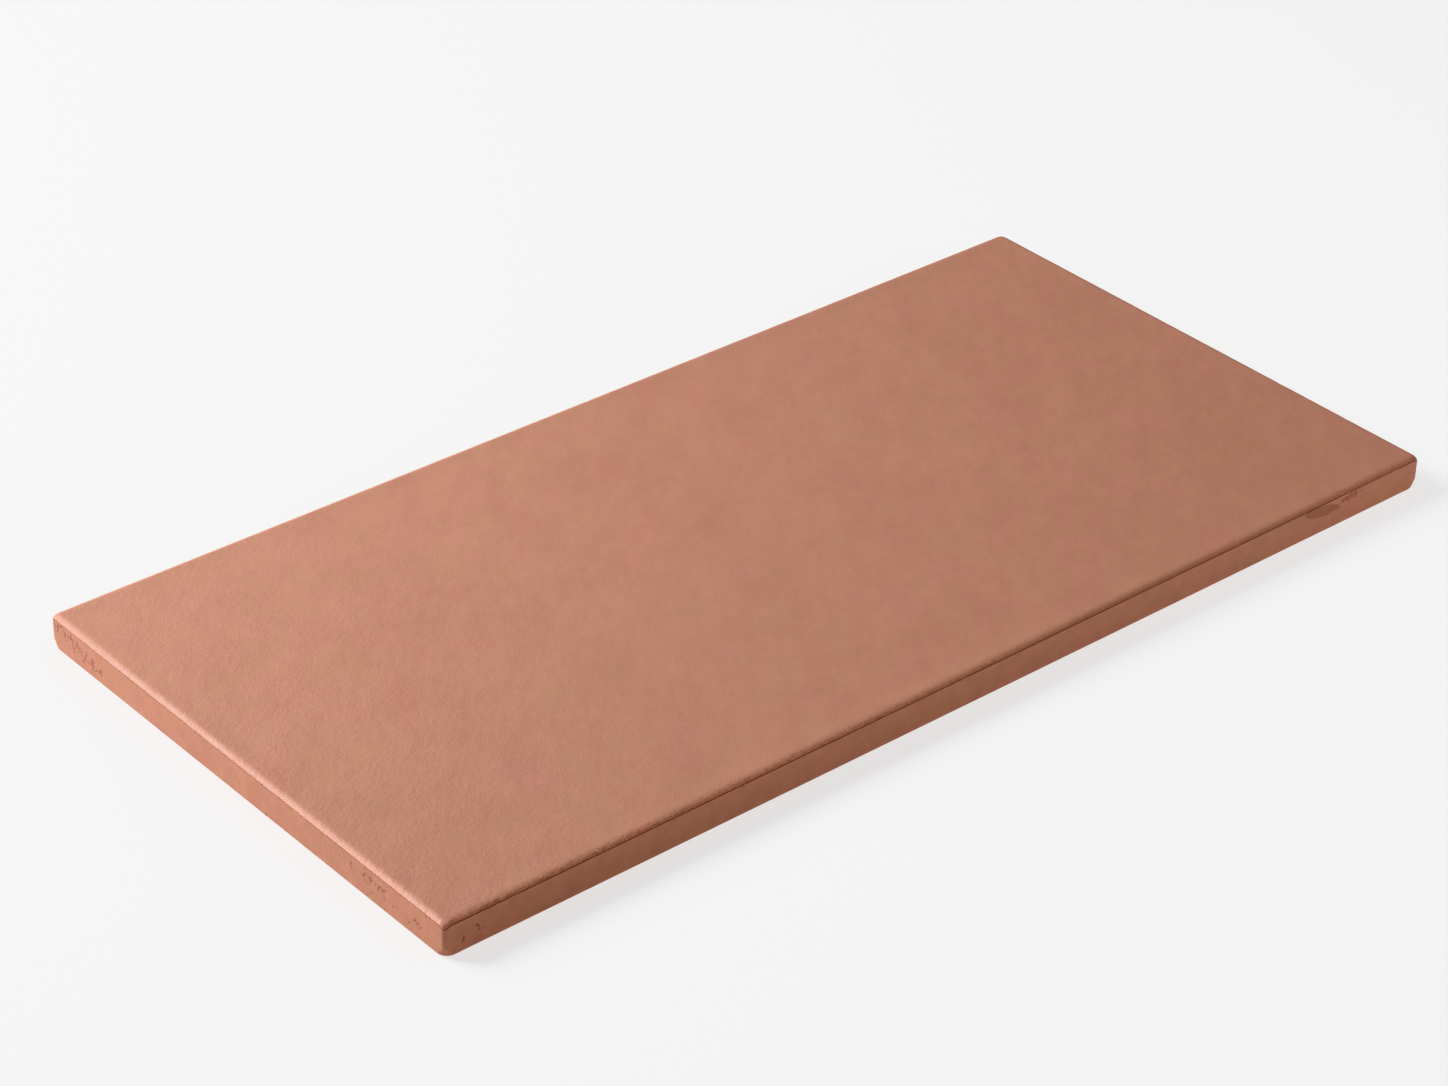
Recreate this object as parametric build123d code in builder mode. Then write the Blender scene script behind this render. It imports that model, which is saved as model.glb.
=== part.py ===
from build123d import *
import os

# Rectangular fired-clay floor tile, pressed as one piece and lying on its back. Millimetres, +Z up, with the
# origin at the centre of the bedding plane, X along the length and Y along the width.

# Slab
LENGTH = 297.0
WIDTH = 147.0
THICKNESS = 9.0

# Upright edges of the walls: nearly sharp above, and worn rounder towards the foot
EDGE_RADIUS = 1.0
FOOT_CORNER_RADIUS = 3.0
FOOT_WEAR_HEIGHT = 2.6

# Rounded lip round the wear face: how far it reaches in from the walls and how far it drops to the seam
LIP_INSET = 1.8
LIP_DROP = 0.75
FACE_CORNER_RADIUS = 0.25

# Fine seam under the lip, where the face punch met the die
SEAM_DEPTH = 0.15
SEAM_HEIGHT = 0.25

# Worn round along the bottom edge of the walls
FOOT_RADIUS = 0.7

# Keyed back: shallow drafted pockets between ribs, inside a plain border that lies on the bedding plane
KEY_COLUMNS = 10
KEY_ROWS = 5
KEY_BORDER = 7.0
KEY_RIB = 4.0
KEY_DEPTH = 0.7
KEY_CORNER_RADIUS = 1.5
KEY_DRAFT = 30.0

# The lip is an arc that leaves the wear face tangentially and meets the wall at an angle, so it is the part of
# a full round that lies inside the walls.
lip_radius = (LIP_INSET**2 + LIP_DROP**2) / (2 * LIP_DROP)
lip_overrun = lip_radius - LIP_INSET
lip_corner_radius = lip_radius + FACE_CORNER_RADIUS
seam_top = THICKNESS - LIP_DROP

key_length = (LENGTH - 2 * KEY_BORDER - (KEY_COLUMNS - 1) * KEY_RIB) / KEY_COLUMNS
key_width = (WIDTH - 2 * KEY_BORDER - (KEY_ROWS - 1) * KEY_RIB) / KEY_ROWS

with BuildPart() as walls:
    # Worn foot
    with BuildSketch():
        RectangleRounded(LENGTH, WIDTH, FOOT_CORNER_RADIUS)
    with BuildSketch(Plane.XY.offset(FOOT_WEAR_HEIGHT)) as wall_outline:
        RectangleRounded(LENGTH, WIDTH, EDGE_RADIUS)
    loft(ruled=True)

    # Straight walls above it
    extrude(wall_outline.sketch, amount=THICKNESS - FOOT_WEAR_HEIGHT)

with BuildPart() as floor_tile:
    # Slab with a full round on its top edge, oversize by what the walls take off
    with BuildSketch():
        RectangleRounded(LENGTH + 2 * lip_overrun, WIDTH + 2 * lip_overrun, lip_corner_radius)
    extrude(amount=THICKNESS)
    wear_face = floor_tile.faces().sort_by(Axis.Z)[-1]
    fillet(wear_face.outer_wire().edges(), lip_radius)

    # Walls, which leave the lip
    add(walls.part, mode=Mode.INTERSECT)

    # Round along the foot of the walls
    bedding_face = floor_tile.faces().sort_by(Axis.Z)[0]
    fillet(bedding_face.outer_wire().edges(), FOOT_RADIUS)

    # Seam under the lip
    with BuildSketch(Plane.XY.offset(seam_top - SEAM_HEIGHT)):
        RectangleRounded(LENGTH, WIDTH, EDGE_RADIUS)
        offset(amount=-SEAM_DEPTH, mode=Mode.SUBTRACT)
    extrude(amount=SEAM_HEIGHT, mode=Mode.SUBTRACT)

    # Pockets of the keyed back
    with BuildSketch():
        with GridLocations(key_length + KEY_RIB, key_width + KEY_RIB, KEY_COLUMNS, KEY_ROWS):
            RectangleRounded(key_length, key_width, KEY_CORNER_RADIUS)
    extrude(amount=KEY_DEPTH, taper=KEY_DRAFT, mode=Mode.SUBTRACT)

floor_tile.part.label = "floor_tile"

os.makedirs("parts", exist_ok=True)
export_step(floor_tile.part, "parts/floor_tile.step")
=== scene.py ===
import math
from typing import NamedTuple

import bpy
from bpy.props import FloatProperty, FloatVectorProperty, IntProperty, PointerProperty
from mathutils import Matrix, Vector
from mathutils.geometry import delaunay_2d_cdt


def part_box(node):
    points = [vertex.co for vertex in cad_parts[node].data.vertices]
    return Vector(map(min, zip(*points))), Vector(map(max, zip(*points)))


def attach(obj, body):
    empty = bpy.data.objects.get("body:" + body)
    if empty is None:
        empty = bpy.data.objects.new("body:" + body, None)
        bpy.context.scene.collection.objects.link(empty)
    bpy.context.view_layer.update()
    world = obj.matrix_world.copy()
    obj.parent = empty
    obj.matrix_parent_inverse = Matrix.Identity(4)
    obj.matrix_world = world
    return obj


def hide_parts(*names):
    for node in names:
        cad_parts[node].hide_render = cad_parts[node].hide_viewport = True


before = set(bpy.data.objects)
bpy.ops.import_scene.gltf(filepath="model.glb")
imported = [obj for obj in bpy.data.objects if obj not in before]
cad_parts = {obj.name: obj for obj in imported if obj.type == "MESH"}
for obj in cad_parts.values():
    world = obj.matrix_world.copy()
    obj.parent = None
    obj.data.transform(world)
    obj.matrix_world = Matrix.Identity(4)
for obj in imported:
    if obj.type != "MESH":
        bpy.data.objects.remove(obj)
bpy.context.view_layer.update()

bl_info = {
    "name": "Terracotta Floor Tile",
    "version": (1, 0, 0),
    "blender": (4, 5, 0),
    "location": "3D View > Sidebar > Tile",
    "description": "Makes a pressed and fired clay floor tile, and the stage that it lies on",
    "category": "Add Mesh",
}

MM = 0.001

CAD_NODE = "floor_tile"
CAD_BODY = "root"
CAD_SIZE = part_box(CAD_NODE)[1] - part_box(CAD_NODE)[0]

PIECE_NAME = "fired_tile"

# Width of the camera's sensor in millimetres
SENSOR_WIDTH = 36.0


class Mark(NamedTuple):
    """A worn place on a wall: where it is along the wall (X or Y) and up it, how far it reaches, how it
    leans and how strong it is."""

    wall: str
    along: float
    height: float
    half_length: float
    half_height: float
    lean: float = 0.0
    strength: float = 1.0


# Places where the pressed clay tore and stayed rough. A weak one has fewer tears.
SCUFFS = (
    Mark("left", 62.0 * MM, 4.6 * MM, 12.0 * MM, 2.8 * MM, 0.22),
    Mark("left", -51.0 * MM, 4.6 * MM, 20.0 * MM, 1.9 * MM, 0.07, 0.55),
    Mark("front", -142.0 * MM, 4.2 * MM, 5.0 * MM, 1.6 * MM, 0.1, 0.55),
    Mark("front", 125.0 * MM, 6.5 * MM, 3.6 * MM, 1.5 * MM, 0.05, 0.8),
    Mark("right", 24.0 * MM, 3.8 * MM, 13.0 * MM, 2.2 * MM, -0.08, 0.7),
    Mark("back", -86.0 * MM, 4.2 * MM, 15.0 * MM, 2.1 * MM, 0.05, 0.55),
)

# Places where the clay was rubbed flat and fired darker
SMEARS = (
    Mark("front", 113.5 * MM, 6.3 * MM, 8.0 * MM, 1.7 * MM, -0.16),
    Mark("front", 124.5 * MM, 6.9 * MM, 5.0 * MM, 1.1 * MM, 0.06, 0.75),
)


class TileForm(bpy.types.PropertyGroup):
    """Sizes of the pressed tile."""

    length: FloatProperty(
        name="Length", description="Length of the tile", default=CAD_SIZE.x, unit="LENGTH", precision=5
    )
    width: FloatProperty(
        name="Width", description="Width of the tile", default=CAD_SIZE.y, unit="LENGTH", precision=5
    )
    thickness: FloatProperty(
        name="Thickness", description="Height of the wear face",
        default=CAD_SIZE.z, unit="LENGTH", precision=5,
    )
    lip_inset: FloatProperty(
        name="Lip inset", description="How far the lip reaches in from the walls",
        default=1.8 * MM, unit="LENGTH", precision=5,
    )
    lip_drop: FloatProperty(
        name="Lip drop", description="How far the lip drops to the seam",
        default=0.75 * MM, unit="LENGTH", precision=5,
    )
    face_corner: FloatProperty(
        name="Face corner", description="Corner radius of the flat wear face",
        default=0.25 * MM, unit="LENGTH", precision=5,
    )
    seam_depth: FloatProperty(
        name="Seam depth", description="Depth of the seam under the lip",
        default=0.15 * MM, unit="LENGTH", precision=5,
    )
    seam_height: FloatProperty(
        name="Seam height", description="Height of the seam under the lip",
        default=0.25 * MM, unit="LENGTH", precision=5,
    )
    edge_radius: FloatProperty(
        name="Edge radius", description="Radius of the walls' upright edges",
        default=1.0 * MM, unit="LENGTH", precision=5,
    )
    foot_corner: FloatProperty(
        name="Foot corner", description="Radius of the walls' upright edges at the foot, where they are worn",
        default=3.0 * MM, unit="LENGTH", precision=5,
    )
    wear_height: FloatProperty(
        name="Wear height", description="Height up to which the upright edges are worn",
        default=2.6 * MM, unit="LENGTH", precision=5,
    )
    foot_radius: FloatProperty(
        name="Foot radius", description="Round along the bottom edge of the walls",
        default=0.7 * MM, unit="LENGTH", precision=5,
    )
    key_columns: IntProperty(
        name="Key columns", description="Pockets of the keyed back along the length", default=10, min=1
    )
    key_rows: IntProperty(
        name="Key rows", description="Pockets of the keyed back across the width", default=5, min=1
    )
    key_border: FloatProperty(
        name="Key border", description="Plain border round the pockets",
        default=7.0 * MM, unit="LENGTH", precision=5,
    )
    key_rib: FloatProperty(
        name="Key rib", description="Width of the ribs between the pockets",
        default=4.0 * MM, unit="LENGTH", precision=5,
    )
    key_depth: FloatProperty(
        name="Key depth", description="Depth of the pockets", default=0.7 * MM, unit="LENGTH", precision=5
    )
    key_corner: FloatProperty(
        name="Key corner", description="Corner radius of the pockets",
        default=1.5 * MM, unit="LENGTH", precision=5,
    )
    key_draft: FloatProperty(
        name="Key draft", description="Lean of the pockets' walls",
        default=math.radians(30.0), subtype="ANGLE",
    )
    wall_step: FloatProperty(
        name="Wall step", description="Distance between mesh columns along a smooth wall",
        default=0.55 * MM, unit="LENGTH", precision=5,
    )
    mark_step: FloatProperty(
        name="Mark step", description="Distance between mesh columns along a worn place",
        default=0.24 * MM, unit="LENGTH", precision=5,
    )
    face_step: FloatProperty(
        name="Face step", description="Distance between mesh points on the wear face",
        default=2.1 * MM, unit="LENGTH", precision=5,
    )


class TileRelief(bpy.types.PropertyGroup):
    """Depths and sizes of what pressing, drying and firing left on the surface."""

    wave_depth: FloatProperty(
        name="Wave depth", description="Depth of the broad waves along the walls",
        default=0.05 * MM, unit="LENGTH", precision=6,
    )
    wave_size: FloatProperty(
        name="Wave size", description="Size of the broad waves", default=17.0 * MM, unit="LENGTH", precision=5
    )
    grit_depth: FloatProperty(
        name="Grit depth", description="Depth of the walls' fine roughness",
        default=0.02 * MM, unit="LENGTH", precision=6,
    )
    grit_size: FloatProperty(
        name="Grit size", description="Size of the walls' fine roughness",
        default=1.5 * MM, unit="LENGTH", precision=5,
    )
    pit_depth: FloatProperty(
        name="Pit depth", description="Depth of the walls' pits",
        default=0.16 * MM, unit="LENGTH", precision=6,
    )
    pit_spacing: FloatProperty(
        name="Pit spacing", description="Distance between places where a pit may be",
        default=1.9 * MM, unit="LENGTH", precision=5,
    )
    pit_share: FloatProperty(
        name="Pit share", description="Share of those places that have a pit on a smooth wall",
        default=0.03, subtype="FACTOR",
    )
    scuff_depth: FloatProperty(
        name="Scuff depth", description="Depth of the tears in a rough place",
        default=0.06 * MM, unit="LENGTH", precision=6,
    )
    scuff_size: FloatProperty(
        name="Scuff size", description="Distance between the tears in a rough place",
        default=3.3 * MM, unit="LENGTH", precision=5,
    )
    nick_depth: FloatProperty(
        name="Nick depth", description="Depth of the nicks along the lip's edge",
        default=0.14 * MM, unit="LENGTH", precision=6,
    )
    nick_size: FloatProperty(
        name="Nick size", description="Size of the nicks along the lip's edge",
        default=2.2 * MM, unit="LENGTH", precision=5,
    )
    dish_depth: FloatProperty(
        name="Dish depth", description="How far the wear face lies below its rim",
        default=0.05 * MM, unit="LENGTH", precision=6,
    )
    dish_reach: FloatProperty(
        name="Dish reach", description="How far in from the lip the wear face reaches that depth",
        default=3.5 * MM, unit="LENGTH", precision=5,
    )
    face_wave_depth: FloatProperty(
        name="Face wave depth", description="Depth of the faint waves of the wear face",
        default=0.03 * MM, unit="LENGTH", precision=6,
    )
    seed: IntProperty(name="Seed", description="Where the marks fall", default=7)


class TileFinish(bpy.types.PropertyGroup):
    """Colours and grain of the fired clay."""

    rosy: FloatVectorProperty(
        name="Rosy clay", description="Colour of the pinker clouds",
        default=(0.421, 0.193, 0.143), subtype="COLOR", min=0.0, max=1.0,
    )
    sandy: FloatVectorProperty(
        name="Sandy clay", description="Colour of the yellower clouds",
        default=(0.413, 0.206, 0.138), subtype="COLOR", min=0.0, max=1.0,
    )
    # Partly the walls' own colour, partly painted shade that deepens the walls' colour
    wall_tint_and_shade: FloatVectorProperty(
        name="Wall tint and shade", description="How much darker and redder the walls are than the wear face",
        default=(0.972, 0.845, 0.74), subtype="COLOR", min=0.0, max=1.0,
    )
    # Also the colour of the painted shade in pits, tears, the seam and along the foot
    burnt_and_shade: FloatVectorProperty(
        name="Burnt clay and shade", description="Colour of dark grains and smears, and of painted shade in pits, tears, seam and foot",
        default=(0.165, 0.038, 0.02), subtype="COLOR", min=0.0, max=1.0,
    )
    # Also the colour of a painted highlight along the lip
    pale: FloatVectorProperty(
        name="Pale clay and highlight", description="Colour of chips, pale grains and the painted lip highlight",
        default=(0.64, 0.275, 0.185), subtype="COLOR", min=0.0, max=1.0,
    )
    cloud_size: FloatProperty(
        name="Cloud size", description="Size of the largest clouds of colour",
        default=13.0 * MM, unit="LENGTH", precision=5,
    )
    cloud_heading: FloatProperty(
        name="Cloud heading", description="Direction in which the clouds are drawn out",
        default=math.radians(48.8), subtype="ANGLE",
    )
    cloud_stretch: FloatProperty(
        name="Cloud stretch", description="How many times longer than wide the clouds are", default=1.87
    )
    cloud_tone: FloatProperty(
        name="Cloud tone", description="How much lighter and darker the clouds are",
        default=0.055, subtype="FACTOR",
    )
    mottle_size: FloatProperty(
        name="Mottle size", description="Size of the walls' mottling",
        default=4.0 * MM, unit="LENGTH", precision=5,
    )
    mottle_tone: FloatProperty(
        name="Mottle tone", description="How much lighter and darker the walls' mottling is",
        default=0.05, subtype="FACTOR",
    )
    speck_spacing: FloatProperty(
        name="Speck spacing", description="Distance between places where a speck may be",
        default=2.4 * MM, unit="LENGTH", precision=5,
    )
    fleck_size: FloatProperty(
        name="Fleck size", description="Size of the flecks on the lip",
        default=0.9 * MM, unit="LENGTH", precision=5,
    )
    grain_size: FloatProperty(
        name="Grain size", description="Size of the wear face's leathery grain",
        default=1.2 * MM, unit="LENGTH", precision=5,
    )
    grain_depth: FloatProperty(
        name="Grain depth", description="Depth of the wear face's leathery grain",
        default=0.085 * MM, unit="LENGTH", precision=6,
    )
    roughness: FloatProperty(
        name="Roughness", description="Roughness of the bare clay", default=0.56, subtype="FACTOR"
    )
    lip_roughness: FloatProperty(
        name="Lip roughness", description="Roughness of the lip, which is rubbed smoother",
        default=0.45, subtype="FACTOR",
    )
    gloss: FloatProperty(
        name="Gloss", description="How much of the light the clay mirrors", default=0.35, subtype="FACTOR"
    )


class TileStage(bpy.types.PropertyGroup):
    """Floor, lights and camera."""

    floor_colour: FloatVectorProperty(
        name="Floor colour", description="Colour of the pale floor",
        default=(0.4, 0.4, 0.4), subtype="COLOR", min=0.0, max=1.0,
    )
    floor_glow: FloatProperty(
        name="Floor glow", description="Strength of the light that the floor itself gives", default=0.72
    )
    floor_reach: FloatProperty(
        name="Floor reach", description="Distance from the tile to the floor's edge",
        default=3.0, unit="LENGTH",
    )
    sky_strength: FloatProperty(
        name="Sky strength", description="Strength of the even light all round", default=0.134
    )
    key_power: FloatProperty(
        name="Key power", description="Power of the soft key light", default=19.8, unit="POWER"
    )
    key_size: FloatProperty(
        name="Key size", description="Side of the soft key light", default=0.5, unit="LENGTH"
    )
    key_place: FloatVectorProperty(
        name="Key place", description="Where the key light stands",
        default=(-0.498, 0.6375, 0.588), subtype="XYZ",
    )
    fill_power: FloatProperty(
        name="Fill power", description="Power of the soft fill light", default=0.94, unit="POWER"
    )
    fill_size: FloatProperty(
        name="Fill size", description="Side of the soft fill light", default=0.25, unit="LENGTH"
    )
    fill_place: FloatVectorProperty(
        name="Fill place", description="Where the fill light stands",
        default=(0.433, -0.389, 0.145), subtype="XYZ",
    )
    under_power: FloatProperty(
        name="Under power", description="Power of the light below the floor", default=12.0, unit="POWER"
    )
    under_size: FloatProperty(
        name="Under size", description="Side of the light below the floor", default=1.2, unit="LENGTH"
    )
    under_place: FloatVectorProperty(
        name="Under place", description="Where the light below the floor is",
        default=(-0.4, -0.3, -1.0), subtype="XYZ",
    )
    azimuth: FloatProperty(
        name="Azimuth", description="Camera's turn round the tile",
        default=math.radians(-41.2183), subtype="ANGLE",
    )
    elevation: FloatProperty(
        name="Elevation", description="Camera's height above the horizon",
        default=math.radians(32.2711), subtype="ANGLE",
    )
    roll: FloatProperty(
        name="Roll", description="Camera's turn about its own line of sight",
        default=math.radians(-1.4923), subtype="ANGLE",
    )
    distance: FloatProperty(
        name="Distance", description="Camera's distance from the point that it looks at",
        default=0.94581, unit="LENGTH", precision=5,
    )
    aim: FloatVectorProperty(
        name="Aim", description="Point on the floor that the camera looks at",
        default=(-0.857 * MM, 12.238 * MM, 0.0), subtype="XYZ", precision=5,
    )
    lens: FloatProperty(name="Lens", description="Focal length in millimetres", default=99.003)


class Wiring:
    """Adds nodes to one tree and wires them, so that a formula reads in the order of its steps."""

    def __init__(self, tree):
        self.tree = tree

    def put(self, socket, value):
        """Links a socket to the input, or sets the input's own value."""
        if isinstance(value, bpy.types.NodeSocket):
            self.tree.links.new(value, socket)
        else:
            socket.default_value = value

    def add(self, kind, inputs=(), **settings):
        """A new node with these settings and inputs, which are given by name or by number."""
        node = self.tree.nodes.new(kind)
        for name, value in settings.items():
            setattr(node, name, value)
        for key, value in dict(inputs).items():
            self.put(node.inputs[key], value)
        return node

    def math(self, operation, *values):
        return self.add("ShaderNodeMath", enumerate(values), operation=operation).outputs[0]

    def total(self, *values):
        """All the values added up."""
        result = values[0]
        for value in values[1:]:
            result = self.math("ADD", result, value)
        return result

    def product(self, *values):
        """All the values multiplied."""
        result = values[0]
        for value in values[1:]:
            result = self.math("MULTIPLY", result, value)
        return result

    def scaled(self, vector, factor):
        inputs = {"Vector": vector, "Scale": factor}
        return self.add("ShaderNodeVectorMath", inputs, operation="SCALE").outputs["Vector"]

    def shifted(self, vector, offset):
        return self.add("ShaderNodeVectorMath", {0: vector, 1: offset}, operation="ADD").outputs["Vector"]

    def step(self, value, low, high, at_low=0.0, at_high=1.0):
        """A smooth step from at_low where the value is low to at_high where it is high."""
        inputs = {"Value": value, "From Min": low, "From Max": high, "To Min": at_low, "To Max": at_high}
        return self.add("ShaderNodeMapRange", inputs, interpolation_type="SMOOTHSTEP").outputs["Result"]

    def noise(self, place, scale, detail=2.0, roughness=0.5, distortion=0.0):
        """Noise from 0 to 1, with scale waves to one unit of place."""
        inputs = {
            "Vector": place,
            "Scale": scale,
            "Detail": detail,
            "Roughness": roughness,
            "Distortion": distortion,
        }
        return self.add("ShaderNodeTexNoise", inputs).outputs[0]

    def cells(self, place, scale, feature="F1"):
        """Cells about scattered points: the distance to a cell's point or edge, and its random colour."""
        return self.add("ShaderNodeTexVoronoi", {"Vector": place, "Scale": scale}, feature=feature).outputs

    def parts(self, vector):
        return self.add("ShaderNodeSeparateXYZ", {0: vector}).outputs

    def blend(self, factor, first, second, blend_type="MIX"):
        """The first colour where the factor is 0 and the second where it is 1."""
        node = self.add("ShaderNodeMix", data_type="RGBA", blend_type=blend_type, clamp_factor=True)
        for socket, value in zip((node.inputs[0], node.inputs[6], node.inputs[7]), (factor, first, second)):
            self.put(socket, value)
        return node.outputs[2]


def opaque(colour):
    """A colour property as the four numbers that a colour socket takes."""
    return (*colour, 1.0)


def smooth(share):
    """A smooth step of a share, which is held between 0 and 1."""
    share = min(max(share, 0.0), 1.0)
    return share * share * (3.0 - 2.0 * share)


class Column(NamedTuple):
    """One line up the tile's side. It is on one of four walls, or on the corner that follows that wall, at
    a share of the wall's run or of the corner's quarter turn."""

    turn: int
    at_corner: bool
    share: float


# The walls in order, anticlockwise seen from above, and the corner that each of them starts from
WALLS = ("front", "right", "back", "left")
CORNERS = (Vector((-1, -1)), Vector((1, -1)), Vector((1, 1)), Vector((-1, 1)))


def outline_place(length, width, radius, column):
    """Place and outward normal of a column on a rounded rectangle about the origin."""
    half = Vector((length / 2 - radius, width / 2 - radius))
    start = half * CORNERS[column.turn]
    end = half * CORNERS[(column.turn + 1) % len(CORNERS)]
    centre = end if column.at_corner else start.lerp(end, column.share)
    angle = math.radians(90.0) * (column.turn - 1 + column.at_corner * column.share)
    normal = Vector((math.cos(angle), math.sin(angle)))
    return centre + radius * normal, normal


def spread_stations(run, crowded, step, close_step):
    """Places from 0 to the end of a run, close together at the crowded stretches (middle and half length)."""
    fade = 6.0 * MM
    places = [0.0]
    while places[-1] < run:
        gaps = [abs(places[-1] - middle) - half for middle, half in crowded]
        share = smooth(min(gaps) / fade) if gaps else 1.0
        places.append(places[-1] + close_step + (step - close_step) * share)
    return [place * run / places[-1] for place in places]


def side_columns(form):
    """Columns round the tile, closer together where a wall is worn."""
    corner_steps = 10
    columns = []
    for turn, wall in enumerate(WALLS):
        run = form.width if turn % 2 else form.length
        heading = CORNERS[(turn + 1) % len(CORNERS)][turn % 2]
        crowded = [
            (run / 2 + heading * mark.along, mark.half_length)
            for mark in SCUFFS + SMEARS
            if mark.wall == wall
        ]
        stations = spread_stations(run, crowded, form.wall_step, form.mark_step)
        columns += [Column(turn, False, station / run) for station in stations]
        columns += [Column(turn, True, step / corner_steps) for step in range(1, corner_steps)]
    return columns


def edge_radius_at(form, height):
    """Radius of the walls' upright edges at a height: they are worn rounder towards the foot."""
    share = min(height / form.wear_height, 1.0)
    return form.foot_corner + (form.edge_radius - form.foot_corner) * share


class Lip:
    """The rounded lip: an arc that leaves the wear face tangentially and is cut off by the walls."""

    def __init__(self, form):
        self.inset = form.lip_inset
        self.thickness = form.thickness
        self.radius = (form.lip_inset**2 + form.lip_drop**2) / (2 * form.lip_drop)
        self.corner = form.lip_inset + form.face_corner
        self.half = Vector((form.length / 2 - self.corner, form.width / 2 - self.corner))

    def lean(self, place):
        """How far in from the walls a place is, round the lip's own corners, and the way out from it."""
        past = Vector((abs(place.x) - self.half.x, abs(place.y) - self.half.y))
        if min(past) < 0:
            past = Vector((past.x, 0.0)) if past.x > past.y else Vector((0.0, past.y))
        outward = Vector((math.copysign(past.x, place.x), math.copysign(past.y, place.y)))
        return self.corner - past.length, outward.normalized()

    def surface(self, place):
        """Height and outward normal of the lip over a place."""
        inward, outward = self.lean(place)
        across = min(max((self.inset - inward) / self.radius, 0.0), 1.0)
        rise = math.sqrt(1 - across**2)
        return self.thickness - self.radius * (1 - rise), (outward.x * across, outward.y * across, rise)

    def shares(self, steps):
        """Even steps along the arc, as shares of the way in from the wall to the wear face."""
        reach = math.asin(self.inset / self.radius)
        angles = [reach * (1 - step / steps) for step in range(steps + 1)]
        return [1 - self.radius * math.sin(angle) / self.inset for angle in angles]


class SkinPoint(NamedTuple):
    """A point of the tile's side, the way out from it, and its share in each kind of wear."""

    point: Vector
    outward: tuple
    side: float = 0.0
    wall: float = 0.0
    lip: float = 0.0
    seam: float = 0.0


def section_points(form, lip, column):
    """The section at a column, from the bedding plane up the wall, through the seam and over the lip."""
    foot_steps, wall_steps, lip_steps = 4, 16, 9

    # Share of the wall's height from which the lip's nicks reach it
    nick_start = 0.75

    def place_at(height, inset):
        radius = edge_radius_at(form, height)
        return outline_place(form.length - 2 * inset, form.width - 2 * inset, radius - inset, column)

    points = []
    for step in range(foot_steps):
        share = step / foot_steps
        angle = math.radians(90.0) * share
        height = form.foot_radius * (1 - math.cos(angle))
        place, normal = place_at(height, form.foot_radius * (1 - math.sin(angle)))
        outward = (normal.x * math.sin(angle), normal.y * math.sin(angle), -math.cos(angle))
        points.append(SkinPoint(Vector((*place, height)), outward, side=float(step > 0), wall=share))

    edge, normal = place_at(form.thickness, 0.0)
    level = (normal.x, normal.y, 0.0)
    seam_top = lip.surface(edge)[0]
    seam_bottom = seam_top - form.seam_height
    for step in range(wall_steps + 1):
        share = step / wall_steps
        height = form.foot_radius + (seam_bottom - form.foot_radius) * share
        place = place_at(height, 0.0)[0]
        under_lip = smooth((share - nick_start) / (1 - nick_start))
        points.append(SkinPoint(Vector((*place, height)), level, side=1.0, wall=1.0, lip=under_lip))
    for height in (seam_bottom, seam_top):
        place = place_at(height, form.seam_depth)[0]
        points.append(SkinPoint(Vector((*place, height)), level, side=1.0, wall=1.0, lip=1.0, seam=1.0))

    inner = outline_place(
        form.length - 2 * form.lip_inset, form.width - 2 * form.lip_inset, form.face_corner, column
    )[0]
    for share in lip.shares(lip_steps):
        place = edge.lerp(inner, share)
        height, outward = lip.surface(place)
        left = smooth(1 - share)
        points.append(SkinPoint(Vector((*place, height)), outward, wall=left, lip=left))
    return points


def mark_strength(marks, column, point):
    """How strongly the marks show at a point of a column, from 0 to 1."""
    edge_steepness = 1.6
    if column.at_corner:
        return 0.0
    strength = 0.0
    for mark in marks:
        if mark.wall == WALLS[column.turn]:
            along = point[column.turn % 2] - mark.along
            rise = point.z - mark.height - mark.lean * along
            reach = (along / mark.half_length) ** 2 + (rise / mark.half_height) ** 2
            strength = max(strength, mark.strength * smooth(edge_steepness * (1 - reach)))
    return strength


class Shell:
    """The tile's skin as it grows: points, faces, and for each point the way out from it and its wear."""

    def __init__(self):
        self.points = []
        self.faces = []
        self.outward = []
        self.wear = {name: [] for name in ("side", "wall", "lip", "seam", "face", "scuff", "smear")}

    def add_point(self, point, outward, **wear):
        self.points.append(point)
        self.outward.append(outward)
        for name, values in self.wear.items():
            values.append(wear.get(name, 0.0))
        return len(self.points) - 1

    def to_mesh(self, name):
        mesh = bpy.data.meshes.new(name)
        mesh.from_pydata(self.points, [], self.faces)
        outward = mesh.attributes.new("outward", "FLOAT_VECTOR", "POINT")
        outward.data.foreach_set("vector", [number for vector in self.outward for number in vector])
        for wear, values in self.wear.items():
            mesh.attributes.new(wear, "FLOAT", "POINT").data.foreach_set("value", values)
        return mesh


def add_sides(shell, form):
    """Lines of points up the section, joined by quads. Gives the lowest and the highest ring."""
    lip = Lip(form)
    lines = []
    for column in side_columns(form):
        line = []
        for skin in section_points(form, lip, column):
            scuff = mark_strength(SCUFFS, column, skin.point) * skin.wall
            smear = mark_strength(SMEARS, column, skin.point) * skin.wall
            line.append(shell.add_point(
                skin.point, skin.outward, side=skin.side, wall=skin.wall, lip=skin.lip, seam=skin.seam,
                scuff=scuff, smear=smear,
            ))
        lines.append(line)
    for here, there in zip(lines, lines[1:] + lines[:1]):
        for level in range(len(here) - 1):
            shell.faces.append((here[level], there[level], there[level + 1], here[level + 1]))
    return [line[0] for line in lines], [line[-1] for line in lines]


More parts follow.
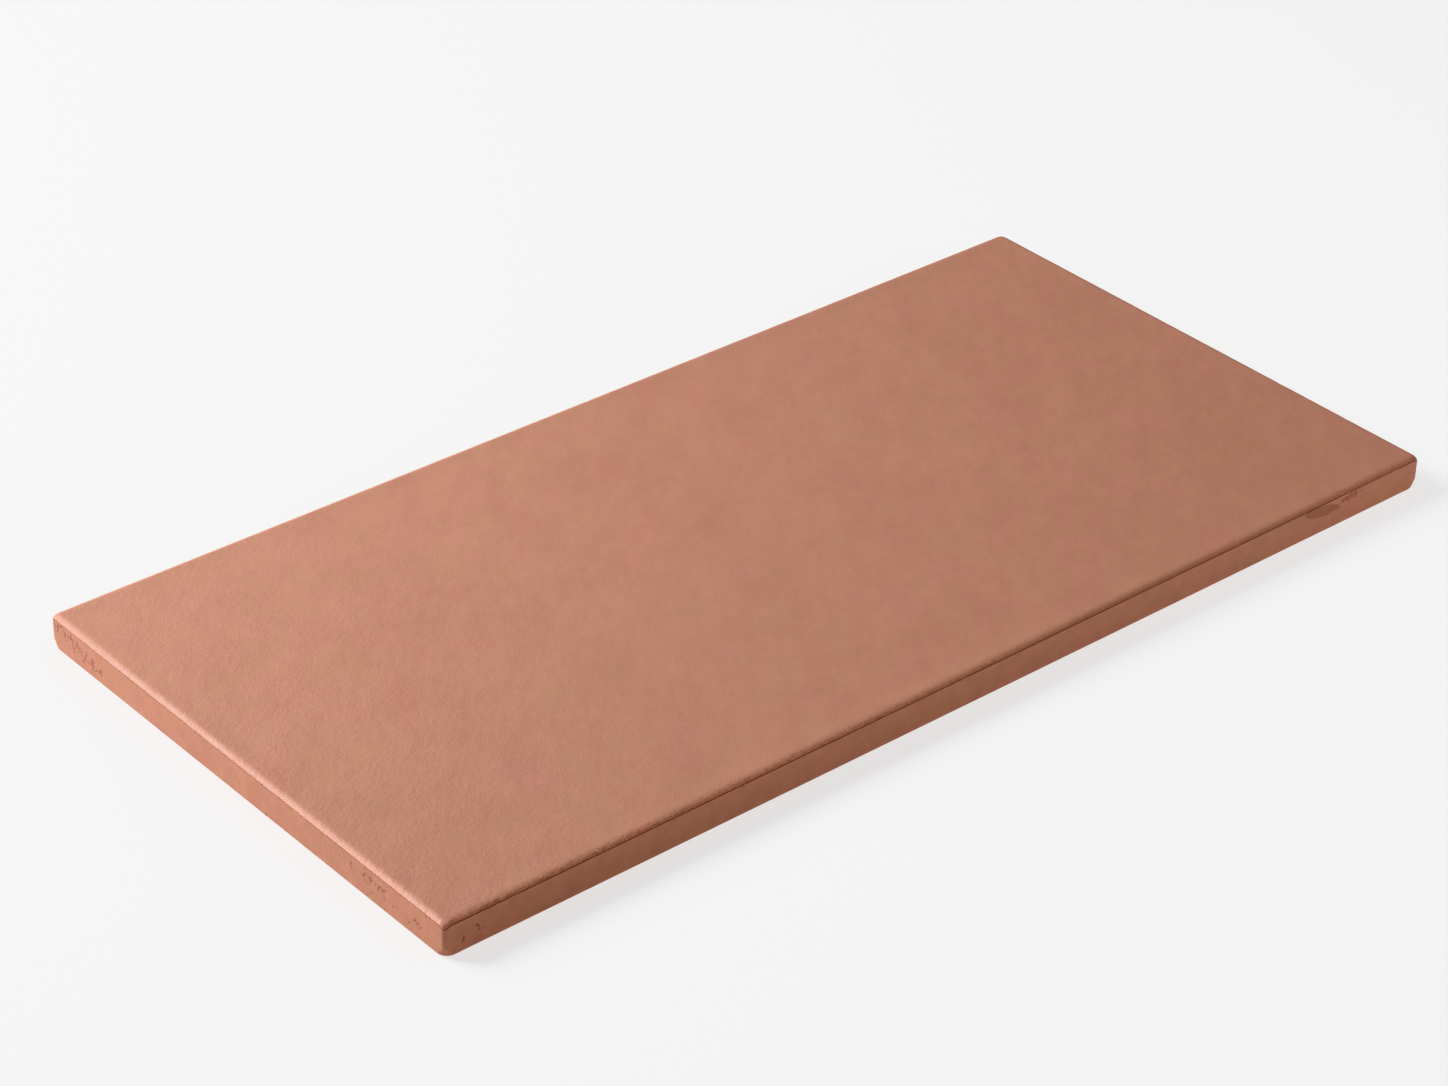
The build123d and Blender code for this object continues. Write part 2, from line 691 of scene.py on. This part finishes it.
def fill_flat(shell, rim, inner, holes=()):
    """Triangles between a rim, inner points and holes, all given as indices of points in one plane."""
    inside_rim, tolerance = 1, 1e-9
    indices = [*rim, *inner, *(index for hole in holes for index in hole)]
    flat = [Vector(shell.points[index][:2]) for index in indices]
    edges = []
    start = len(rim) + len(inner)
    for hole in holes:
        edges += [(start + step, start + (step + 1) % len(hole)) for step in range(len(hole))]
        start += len(hole)
    made = delaunay_2d_cdt(flat, edges, [list(range(len(rim)))], inside_rim, tolerance)
    faces, sources = made[2], made[3]
    return [tuple(indices[sources[corner][0]] for corner in face) for face in faces]


def add_wear_face(shell, form, relief, rim):
    """The wear face inside the lip, with points crowded where it dips in from its rim."""
    ring_growth, field_gap = 1.3, 0.8
    half = Vector((form.length / 2, form.width / 2))
    inner = []

    def add(x, y):
        inset = min(half.x - abs(x), half.y - abs(y)) - form.lip_inset
        inner.append(
            shell.add_point((x, y, form.thickness), (0.0, 0.0, 1.0), face=smooth(inset / relief.dish_reach))
        )

    # Rings of points, each wider apart than the one outside it
    inset = form.lip_inset
    step = form.wall_step
    while step < form.face_step:
        inset += step
        across, up = half.x - inset, half.y - inset
        for run, other, swap in ((across, up, False), (up, across, True)):
            count = round(2 * run / step)
            places = [run * (2 * place / count - 1) for place in range(count if swap else count + 1)]
            for place in places[1:] if swap else places:
                for side in (-other, other):
                    add(*((side, place) if swap else (place, side)))
        step *= ring_growth

    # Staggered rows of points inside the rings
    reach = half - Vector((inset, inset)) - Vector((step, step)) * field_gap
    row_step = form.face_step * math.sqrt(0.75)
    rows = round(2 * reach.y / row_step)
    count = round(2 * reach.x / form.face_step)
    for row in range(rows + 1):
        y = reach.y * (2 * row / rows - 1)
        stagger = row % 2
        for place in range(count + 1 - stagger):
            add(reach.x * ((2 * place + stagger) / count - 1), y)
    shell.faces += fill_flat(shell, rim, inner)


def rounded_rectangle(length, width, radius, steps=4):
    """Points round a rounded rectangle about the origin, anticlockwise seen from above."""
    columns = [Column(turn, True, step / steps) for turn in range(len(CORNERS)) for step in range(steps + 1)]
    return [outline_place(length, width, radius, column)[0] for column in columns]


class KeyGrid(NamedTuple):
    """Size of one pocket of the keyed back, and the distance from one pocket to the next."""

    length: float
    width: float
    pitch_x: float
    pitch_y: float


def key_grid(form):
    length = (form.length - 2 * form.key_border - (form.key_columns - 1) * form.key_rib) / form.key_columns
    width = (form.width - 2 * form.key_border - (form.key_rows - 1) * form.key_rib) / form.key_rows
    return KeyGrid(length, width, length + form.key_rib, width + form.key_rib)


def add_bedding_face(shell, form, rim):
    """The border and ribs that lie on the bedding plane, open where the pockets are."""
    grid = key_grid(form)
    mouth = rounded_rectangle(grid.length, grid.width, form.key_corner)
    core = Vector((grid.length / 2 - form.key_corner, grid.width / 2 - form.key_corner))
    centres = [
        Vector((
            grid.pitch_x * (column - (form.key_columns - 1) / 2),
            grid.pitch_y * (row - (form.key_rows - 1) / 2),
        ))
        for column in range(form.key_columns)
        for row in range(form.key_rows)
    ]
    holes = []
    for centre in centres:
        places = [centre + point for point in mouth]
        holes.append([shell.add_point((place.x, place.y, 0.0), (0.0, 0.0, -1.0)) for place in places])

    def in_pocket(face):
        middle = sum((Vector(shell.points[corner][:2]) for corner in face), Vector((0.0, 0.0))) / len(face)
        for centre in centres:
            past = [max(abs(offset) - limit, 0.0) for offset, limit in zip(middle - centre, core)]
            if math.hypot(*past) < form.key_corner:
                return True
        return False

    faces = fill_flat(shell, rim, [], holes)
    shell.faces += [face[::-1] for face in faces if not in_pocket(face)]


def key_pocket_mesh(form):
    """One pocket of the keyed back: its drafted walls and its floor, about the origin."""
    grid = key_grid(form)
    lean = form.key_depth * math.tan(form.key_draft)
    mouth = rounded_rectangle(grid.length, grid.width, form.key_corner)
    floor = rounded_rectangle(grid.length - 2 * lean, grid.width - 2 * lean, form.key_corner - lean)
    count = len(mouth)
    points = [(point.x, point.y, 0.0) for point in mouth]
    points += [(point.x, point.y, form.key_depth) for point in floor]
    faces = [
        (here, count + here, count + (here + 1) % count, (here + 1) % count)
        for here in range(count)
    ]
    faces.append(tuple(reversed(range(count, 2 * count))))
    mesh = bpy.data.meshes.new("key_pocket")
    mesh.from_pydata(points, [], faces)
    return mesh


RELIEF_INPUTS = {
    "Key pocket": "NodeSocketObject",
    "Key columns": "NodeSocketInt",
    "Key rows": "NodeSocketInt",
    "Key pitch X": "NodeSocketFloat",
    "Key pitch Y": "NodeSocketFloat",
    "Wave depth": "NodeSocketFloat",
    "Wave size": "NodeSocketFloat",
    "Grit depth": "NodeSocketFloat",
    "Grit size": "NodeSocketFloat",
    "Pit depth": "NodeSocketFloat",
    "Pit spacing": "NodeSocketFloat",
    "Pit share": "NodeSocketFloat",
    "Scuff depth": "NodeSocketFloat",
    "Scuff size": "NodeSocketFloat",
    "Nick depth": "NodeSocketFloat",
    "Nick size": "NodeSocketFloat",
    "Dish depth": "NodeSocketFloat",
    "Face wave depth": "NodeSocketFloat",
    "Seed": "NodeSocketInt",
    "Clay": "NodeSocketMaterial",
}


# How far each seed moves the patterns of the relief and of the material, in metres
SEED_STRIDE = (0.37, 0.23, 0.41)

# Width of a tear as a share of the distance between tears: in the mesh, which holds no thinner one,
# and in the material
MESH_TEAR_WIDTH = 0.16
FINE_TEAR_WIDTH = 0.075


def warped(wire, spot, waves, reach):
    """A place moved by a noise, so that a pattern drawn there loses its straight lines."""
    drift = wire.add("ShaderNodeTexNoise", {"Vector": spot, "Scale": waves}).outputs["Color"]
    return wire.shifted(spot, wire.scaled(wire.shifted(drift, (-0.5, -0.5, -0.5)), reach))


def pit_pattern(wire, place, scale, share, scuff):
    """Pits about scattered points, few on smooth clay and many in a scuff: 1 in a pit and 0 outside it."""
    scuffed_share = 0.2
    smallest, largest = 0.08, 0.22
    spot = wire.scaled(place, scale)
    cells = wire.cells(warped(wire, spot, waves=3.0, reach=0.5), 1.0)
    chance, size, depth = wire.parts(cells["Color"])
    kept = wire.math("LESS_THAN", chance, wire.total(share, wire.product(scuff, scuffed_share)))
    radius = wire.step(size, 0.0, 1.0, smallest, largest)
    bowl = wire.step(wire.math("DIVIDE", cells["Distance"], radius), 0.35, 1.0, 1.0, 0.0)
    return wire.product(bowl, kept, wire.step(depth, 0.0, 1.0, 0.5, 1.0))


def tear_pattern(wire, place, scale, scuff, width):
    """Thin curling strokes between warped cells, few in a weak scuff: 1 on a stroke and 0 off it."""
    scuffed_share = 0.34
    spot = wire.scaled(place, scale)
    gap = wire.cells(warped(wire, spot, waves=1.6, reach=1.1), 1.0, "DISTANCE_TO_EDGE")["Distance"]
    line = wire.step(gap, 0.0, width, 1.0, 0.0)
    breaks = wire.noise(spot, 0.9, detail=1.0)
    kept = wire.step(wire.total(breaks, wire.product(scuff, scuffed_share)), 0.65, 0.75)
    return wire.product(line, kept, wire.step(scuff, 0.05, 0.3))


def relief_tree():
    """Geometry nodes that set the pockets into the back and press the wear into the walls, lip and face."""
    tree = bpy.data.node_groups.new("Pressed clay relief", "GeometryNodeTree")
    tree.is_modifier = True
    tree.interface.new_socket("Tile", in_out="INPUT", socket_type="NodeSocketGeometry")
    for name, kind in RELIEF_INPUTS.items():
        tree.interface.new_socket(name, in_out="INPUT", socket_type=kind)
    tree.interface.new_socket("Tile", in_out="OUTPUT", socket_type="NodeSocketGeometry")
    wire = Wiring(tree)
    given = wire.add("NodeGroupInput").outputs

    # Pockets of the keyed back, joined to the shell
    last_column = wire.math("SUBTRACT", given["Key columns"], 1.0)
    last_row = wire.math("SUBTRACT", given["Key rows"], 1.0)
    grid = wire.add("GeometryNodeMeshGrid", {
        "Size X": wire.product(given["Key pitch X"], last_column),
        "Size Y": wire.product(given["Key pitch Y"], last_row),
        "Vertices X": given["Key columns"],
        "Vertices Y": given["Key rows"],
    })
    pocket = wire.add("GeometryNodeObjectInfo", {"Object": given["Key pocket"]})
    pockets = wire.add("GeometryNodeInstanceOnPoints", {
        "Points": grid.outputs["Mesh"], "Instance": pocket.outputs["Geometry"],
    })
    joined = wire.add("GeometryNodeJoinGeometry", {"Geometry": given["Tile"]})
    tree.links.new(pockets.outputs["Instances"], joined.inputs["Geometry"])
    real = wire.add("GeometryNodeRealizeInstances", {"Geometry": joined.outputs["Geometry"]})
    merge_distance = 0.002 * MM
    merged = wire.add("GeometryNodeMergeByDistance", {
        "Geometry": real.outputs["Geometry"], "Distance": merge_distance,
    })

    # Smooth shading, with the pressed edges kept sharp
    crease_angle = math.radians(34.0)
    rounded = wire.add("GeometryNodeSetShadeSmooth", {"Geometry": merged.outputs["Geometry"]}, domain="FACE")
    bend = wire.add("GeometryNodeInputMeshEdgeAngle").outputs["Unsigned Angle"]
    creased = wire.add("GeometryNodeSetShadeSmooth", {
        "Geometry": rounded.outputs["Geometry"],
        "Selection": wire.math("GREATER_THAN", bend, crease_angle),
        "Shade Smooth": False,
    }, domain="EDGE")

    # Places in metres, moved by the seed
    stride = wire.scaled(SEED_STRIDE, given["Seed"])
    place = wire.shifted(wire.add("GeometryNodeInputPosition").outputs[0], stride)

    def share(name):
        node = wire.add("GeometryNodeInputNamedAttribute", {"Name": name}, data_type="FLOAT")
        return node.outputs["Attribute"]

    def per(name):
        return wire.math("DIVIDE", 1.0, given[name])

    # Broad waves and fine roughness of the walls
    waves = wire.product(given["Wave depth"], wire.noise(place, per("Wave size"), detail=1.0))
    grit = wire.noise(place, per("Grit size"), detail=3.0, roughness=0.6)
    grit = wire.product(given["Grit depth"], grit)

    # Pits and tears, wide enough for the mesh to hold
    pits = pit_pattern(wire, place, per("Pit spacing"), given["Pit share"], share("scuff"))
    pits = wire.product(pits, share("wall"))
    tears = tear_pattern(wire, place, per("Scuff size"), share("scuff"), MESH_TEAR_WIDTH)

    # Nicks along the lip's edge, where a noise is high
    nicks = wire.step(wire.noise(place, per("Nick size"), detail=2.0, roughness=0.6), 0.58, 0.74)
    nicks = wire.product(nicks, share("lip"))

    # Wear face, a little lower than its rim and faintly waved
    swell = wire.product(given["Face wave depth"], wire.noise(place, per("Wave size"), detail=2.0))
    dish = wire.product(share("face"), wire.total(given["Dish depth"], swell))

    depth = wire.total(
        wire.product(share("wall"), wire.total(waves, grit)),
        wire.product(given["Pit depth"], pits),
        wire.product(given["Scuff depth"], tears),
        wire.product(given["Nick depth"], nicks),
        dish,
    )
    outward = wire.add("GeometryNodeInputNamedAttribute", {"Name": "outward"}, data_type="FLOAT_VECTOR")
    inward = wire.scaled(outward.outputs["Attribute"], wire.product(depth, -1.0))

    # The nicks are kept for the material before the points move
    kept = wire.add("GeometryNodeStoreNamedAttribute", {
        "Geometry": creased.outputs["Geometry"], "Name": "nick", "Value": nicks,
    }, data_type="FLOAT", domain="POINT")
    pressed = wire.add("GeometryNodeSetPosition", {"Geometry": kept.outputs["Geometry"], "Offset": inward})
    finished = wire.add("GeometryNodeSetMaterial", {
        "Geometry": pressed.outputs["Geometry"], "Material": given["Clay"],
    })
    wire.add("NodeGroupOutput", {"Tile": finished.outputs["Geometry"]})
    return tree


def press_relief(tile, values):
    """Gives the tile the relief tree with these inputs, and makes the result its own plain mesh."""
    tree = relief_tree()
    modifier = tile.modifiers.new("Relief", "NODES")
    modifier.node_group = tree
    for item in tree.interface.items_tree:
        if item.in_out == "INPUT" and item.name in values:
            modifier[item.identifier] = values[item.name]
    depsgraph = bpy.context.evaluated_depsgraph_get()
    mesh = bpy.data.meshes.new_from_object(tile.evaluated_get(depsgraph), depsgraph=depsgraph)
    tile.modifiers.clear()
    plain = tile.data
    tile.data = mesh
    mesh.name = plain.name
    bpy.data.meshes.remove(plain)


def fired_clay(finish, relief):
    """Unglazed fired clay: faint clouds of colour, a leathery grain, painted shade in the hollows, seam and
    foot, and pale lip flecks that are partly a painted highlight.
    """
    material = bpy.data.materials.new("Fired clay")
    material.use_nodes = True
    wire = Wiring(material.node_tree)
    shader = material.node_tree.nodes["Principled BSDF"]
    where = wire.add("ShaderNodeTexCoord").outputs["Object"]
    seed_offset = [relief.seed * stride for stride in SEED_STRIDE]
    place = wire.add("ShaderNodeMapping", {"Vector": where, "Location": seed_offset}).outputs[0]

    def wear(name):
        return wire.add("ShaderNodeAttribute", attribute_name=name, attribute_type="GEOMETRY").outputs["Fac"]

    side, wall, scuff = wear("side"), wear("wall"), wear("scuff")
    lip = wire.product(wear("lip"), wire.math("SUBTRACT", 1.0, side))

    # Clouds of tone and of hue, drawn out along one diagonal, and the walls' own mottling. Each is taken from
    # another place in the noise, so that they don't follow each other.
    hue_shift, mottle_shift = (0.0, 0.0, 0.9), (0.0, 0.7, 0.0)
    stretch = math.sqrt(finish.cloud_stretch)
    drawn = wire.add("ShaderNodeMapping", {
        "Vector": place,
        "Rotation": (0.0, 0.0, finish.cloud_heading),
        "Scale": (stretch, 1 / stretch, 1.0),
    }, vector_type="TEXTURE").outputs[0]
    clouds = wire.noise(drawn, 1 / finish.cloud_size, detail=4.0, roughness=0.9)
    hues = wire.noise(
        wire.shifted(drawn, hue_shift), 1 / finish.cloud_size, detail=4.0, roughness=0.9, distortion=0.4
    )
    mottles = wire.noise(wire.shifted(place, mottle_shift), 1 / finish.mottle_size, detail=2.0, roughness=0.6)
    tone = wire.total(
        wire.step(clouds, 0.2, 0.8, 1 - finish.cloud_tone, 1 + finish.cloud_tone),
        wire.product(side, wire.step(mottles, 0.3, 0.7, -finish.mottle_tone, finish.mottle_tone)),
    )
    colour = wire.blend(wire.step(hues, 0.3, 0.7), opaque(finish.rosy), opaque(finish.sandy))
    colour = wire.add("ShaderNodeHueSaturation", {"Color": colour, "Value": tone}).outputs["Color"]
    # Walls darker and redder: partly their own clay, partly painted shade
    colour = wire.blend(side, colour, opaque(finish.wall_tint_and_shade), "MULTIPLY")

    # Sparse grains of clay, paler ones everywhere and darker ones on the walls
    speck_share, dark_tone, pale_tone = 0.08, 0.08, 0.14
    cells = wire.cells(place, 1 / finish.speck_spacing)
    chance = wire.parts(cells["Color"])[0]
    speck = wire.step(cells["Distance"], 0.05, 0.15, 1.0, 0.0)
    dark_speck = wire.product(speck, wire.math("LESS_THAN", chance, speck_share), side, dark_tone)
    pale_speck = wire.product(speck, wire.math("GREATER_THAN", chance, 1 - speck_share), pale_tone)
    colour = wire.blend(dark_speck, colour, opaque(finish.burnt_and_shade))
    colour = wire.blend(pale_speck, colour, opaque(finish.pale))

    # Pale flecks and nicks along the lip: the nicks are chips, the flecks are partly a painted highlight,
    # strongest at the end nearest the key light
    fleck = wire.noise(place, 1 / finish.fleck_size, detail=3.0, roughness=0.7)
    rubbed = wire.math("MAXIMUM", wire.step(fleck, 0.35, 0.65, 0.35, 1.0), wear("nick"))
    along = wire.parts(where)[0]
    # worn: strength of the painted highlight, strongest at the end nearest the key light
    worn = wire.step(along, -60.0 * MM, 70.0 * MM, 1.0, 0.35)
    sooty = wire.step(fleck, 0.3, 0.42, 0.15, 0.0)
    # Painted highlight on the lip, together with the pale chips of the nicks
    colour = wire.blend(wire.product(lip, rubbed, worn), colour, opaque(finish.pale))
    colour = wire.blend(wire.product(lip, sooty), colour, opaque(finish.burnt_and_shade))

    # Painted shade in the pits, tears and seam and along the foot; ragged smears fire darker
    painted_hollow_shade, smear_tone, painted_seam_shade, painted_foot_shade = 0.7, 0.42, 0.55, 0.25
    coarse_edge, fine_edge = 0.4, 0.15
    pits = wire.product(pit_pattern(wire, place, 1 / relief.pit_spacing, relief.pit_share, scuff), wall)
    tears = tear_pattern(wire, place, 1 / relief.scuff_size, scuff, FINE_TEAR_WIDTH)
    hollow = wire.math("MAXIMUM", pits, tears)
    smear = wear("smear")
    ragged = wire.total(
        smear,
        wire.step(mottles, 0.3, 0.7, -coarse_edge, coarse_edge),
        wire.step(fleck, 0.3, 0.7, -fine_edge, fine_edge),
    )
    # Painted shade in the pits and tears
    dark = wire.product(hollow, painted_hollow_shade)
    for shade in (
        wire.product(wire.step(ragged, 0.4, 0.6, 0.0, smear_tone), wire.step(smear, 0.0, 0.2)),
        # Painted shade in the seam under the lip
        wire.product(wear("seam"), painted_seam_shade),
        # Painted shade along the foot of the walls
        wire.step(wire.math("SUBTRACT", side, wall), 0.1, 0.6, 0.0, painted_foot_shade),
    ):
        dark = wire.math("MAXIMUM", dark, shade)
    colour = wire.blend(dark, colour, opaque(finish.burnt_and_shade))
    wire.put(shader.inputs["Base Color"], colour)
    shader.inputs["Specular IOR Level"].default_value = finish.gloss

    # The lip is rubbed smoother, and the sheen varies with the clouds
    sheen_range = 0.06
    sheen = wire.total(
        wire.step(lip, 0.0, 1.0, finish.roughness, finish.lip_roughness),
        wire.step(clouds, 0.2, 0.8, -sheen_range, sheen_range),
    )
    wire.put(shader.inputs["Roughness"], sheen)

    # Leathery grain, strongest towards one end, in the pinker clouds and along the lip, with the hollows cut
    # into it
    crumbs_to_wrinkle, wrinkle_share, lip_grain = 2.1, 0.6, 1.3
    wrinkle = wire.cells(place, 1 / finish.grain_size, "SMOOTH_F1")["Distance"]
    crumb = wire.noise(place, crumbs_to_wrinkle / finish.grain_size, detail=3.0, roughness=0.6)
    leather = wire.total(wire.product(wrinkle, wrinkle_share), crumb)
    patch = wire.product(
        wire.step(along, -150.0 * MM, 0.0, 1.0, 0.12),
        wire.step(hues, 0.3, 0.7, 1.3, 0.7),
        wire.step(side, 0.0, 1.0, 1.0, 0.4),
    )
    grain = wire.product(leather, wire.total(patch, wire.product(lip, lip_grain)), finish.grain_depth)
    height = wire.math("SUBTRACT", grain, wire.product(hollow, relief.scuff_depth))
    bump = wire.add("ShaderNodeBump", {"Height": height, "Distance": 1.0, "Strength": 1.0})
    wire.put(shader.inputs["Normal"], bump.outputs["Normal"])
    return material


class TILE_OT_make_tile(bpy.types.Operator):
    """Make the fired tile in place of the plain solid"""

    bl_idname = "tile.make_tile"
    bl_label = "Make tile"
    bl_options = {"REGISTER", "UNDO"}

    def execute(self, context):
        form = context.scene.tile_form
        relief = context.scene.tile_relief
        shell = Shell()
        bottom_rim, top_rim = add_sides(shell, form)
        add_wear_face(shell, form, relief, top_rim)
        add_bedding_face(shell, form, bottom_rim)
        tile = bpy.data.objects.new(PIECE_NAME, shell.to_mesh(PIECE_NAME))
        context.scene.collection.objects.link(tile)

        pocket = bpy.data.objects.new("key_pocket", key_pocket_mesh(form))
        context.scene.collection.objects.link(pocket)
        grid = key_grid(form)
        press_relief(tile, {
            "Key pocket": pocket,
            "Key columns": form.key_columns,
            "Key rows": form.key_rows,
            "Key pitch X": grid.pitch_x,
            "Key pitch Y": grid.pitch_y,
            "Wave depth": relief.wave_depth,
            "Wave size": relief.wave_size,
            "Grit depth": relief.grit_depth,
            "Grit size": relief.grit_size,
            "Pit depth": relief.pit_depth,
            "Pit spacing": relief.pit_spacing,
            "Pit share": relief.pit_share,
            "Scuff depth": relief.scuff_depth,
            "Scuff size": relief.scuff_size,
            "Nick depth": relief.nick_depth,
            "Nick size": relief.nick_size,
            "Dish depth": relief.dish_depth,
            "Face wave depth": relief.face_wave_depth,
            "Seed": relief.seed,
            "Clay": fired_clay(context.scene.tile_finish, relief),
        })
        bpy.data.objects.remove(pocket)

        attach(tile, CAD_BODY)
        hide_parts(CAD_NODE)
        return {"FINISHED"}


def pale_floor_material(stage):
    """Matt pale floor that is seen from above only, so that the tile's back can be looked at from below."""
    material = bpy.data.materials.new("Pale floor")
    material.use_nodes = True
    wire = Wiring(material.node_tree)
    shader = material.node_tree.nodes["Principled BSDF"]
    shader.inputs["Base Color"].default_value = opaque(stage.floor_colour)
    shader.inputs["Roughness"].default_value = 0.9
    shader.inputs["Specular IOR Level"].default_value = 0.1
    shader.inputs["Emission Color"].default_value = (1.0, 1.0, 1.0, 1.0)
    shader.inputs["Emission Strength"].default_value = stage.floor_glow
    clear = wire.add("ShaderNodeBsdfTransparent")
    behind = wire.add("ShaderNodeNewGeometry").outputs["Backfacing"]
    either = wire.add("ShaderNodeMixShader", {0: behind, 1: shader.outputs["BSDF"], 2: clear.outputs["BSDF"]})
    wire.put(material.node_tree.nodes["Material Output"].inputs["Surface"], either.outputs["Shader"])
    return material


def make_floor(stage, form):
    """A pale floor just under the tile, open where the tile covers it."""
    depth = -0.02 * MM
    cover = 2.0 * MM
    inner = (form.length / 2 - cover, form.width / 2 - cover)
    outer = (stage.floor_reach, stage.floor_reach)
    count = len(CORNERS)
    points = [(x * half[0], y * half[1], depth) for half in (outer, inner) for x, y in CORNERS]
    faces = [
        (here, (here + 1) % count, count + (here + 1) % count, count + here)
        for here in range(count)
    ]
    mesh = bpy.data.meshes.new("pale_floor")
    mesh.from_pydata(points, [], faces)
    mesh.materials.append(pale_floor_material(stage))
    floor = bpy.data.objects.new("pale_floor", mesh)
    bpy.context.scene.collection.objects.link(floor)


def make_panel_light(name, place, power, size, glossy=True):
    """A soft square light aimed at the tile. It isn't seen itself, and without gloss not in a sheen."""
    lamp = bpy.data.lights.new(name, "AREA")
    lamp.shape = "SQUARE"
    lamp.size = size
    lamp.energy = power
    light = bpy.data.objects.new(name, lamp)
    light.location = place
    light.rotation_euler = (-Vector(place)).to_track_quat("-Z", "Y").to_euler()
    light.visible_camera = False
    light.visible_glossy = glossy
    bpy.context.scene.collection.objects.link(light)


def make_sky(strength):
    """Even white light from all round."""
    world = bpy.data.worlds.new("Even light")
    world.use_nodes = True
    background = world.node_tree.nodes["Background"]
    background.inputs["Color"].default_value = (1.0, 1.0, 1.0, 1.0)
    background.inputs["Strength"].default_value = strength
    bpy.context.scene.world = world


def make_camera(stage):
    """A camera at the photograph's viewing angle."""
    ahead = Vector((
        -math.sin(stage.azimuth) * math.cos(stage.elevation),
        math.cos(stage.azimuth) * math.cos(stage.elevation),
        -math.sin(stage.elevation),
    ))
    level = ahead.cross(Vector((0.0, 0.0, 1.0))).normalized()
    down = ahead.cross(level)
    right = level * math.cos(stage.roll) + down * math.sin(stage.roll)
    up = level * math.sin(stage.roll) - down * math.cos(stage.roll)
    turn = Matrix((right, up, -ahead)).transposed()
    lens = bpy.data.cameras.new("photo_view")
    lens.sensor_fit = "HORIZONTAL"
    lens.sensor_width = SENSOR_WIDTH
    lens.lens = stage.lens
    lens.clip_start = 0.01
    camera = bpy.data.objects.new("photo_view", lens)
    camera.matrix_world = Matrix.Translation(Vector(stage.aim) - ahead * stage.distance) @ turn.to_4x4()
    bpy.context.scene.collection.objects.link(camera)
    bpy.context.scene.camera = camera


class TILE_OT_make_stage(bpy.types.Operator):
    """Make the pale floor, the soft lights and the camera"""

    bl_idname = "tile.make_stage"
    bl_label = "Make stage"
    bl_options = {"REGISTER", "UNDO"}

    def execute(self, context):
        stage = context.scene.tile_stage
        make_floor(stage, context.scene.tile_form)
        make_sky(stage.sky_strength)
        make_panel_light("key_light", stage.key_place, stage.key_power, stage.key_size)
        make_panel_light("fill_light", stage.fill_place, stage.fill_power, stage.fill_size, glossy=False)
        make_panel_light("under_light", stage.under_place, stage.under_power, stage.under_size)
        make_camera(stage)
        context.scene.view_settings.view_transform = "Khronos PBR Neutral"
        return {"FINISHED"}


class TILE_PT_panel(bpy.types.Panel):
    """Lists the tile's sizes and finishes, and the buttons that make it"""

    bl_idname = "TILE_PT_panel"
    bl_label = "Floor tile"
    bl_space_type = "VIEW_3D"
    bl_region_type = "UI"
    bl_category = "Tile"

    def draw(self, context):
        scene = context.scene
        for label, group in (
            ("Form", scene.tile_form),
            ("Relief", scene.tile_relief),
            ("Finish", scene.tile_finish),
            ("Stage", scene.tile_stage),
        ):
            box = self.layout.box()
            box.label(text=label)
            for name in group.bl_rna.properties.keys():
                if name not in ("rna_type", "name"):
                    box.prop(group, name)
        self.layout.operator(TILE_OT_make_tile.bl_idname)
        self.layout.operator(TILE_OT_make_stage.bl_idname)


GROUPS = {
    "tile_form": TileForm,
    "tile_relief": TileRelief,
    "tile_finish": TileFinish,
    "tile_stage": TileStage,
}
CLASSES = (*GROUPS.values(), TILE_OT_make_tile, TILE_OT_make_stage, TILE_PT_panel)


def register():
    for cls in CLASSES:
        bpy.utils.register_class(cls)
    for name, group in GROUPS.items():
        setattr(bpy.types.Scene, name, PointerProperty(type=group))


def unregister():
    for name in GROUPS:
        delattr(bpy.types.Scene, name)
    for cls in reversed(CLASSES):
        bpy.utils.unregister_class(cls)


def main():
    register()
    bpy.ops.tile.make_tile()
    bpy.ops.tile.make_stage()


if __name__ == "__main__":
    main()
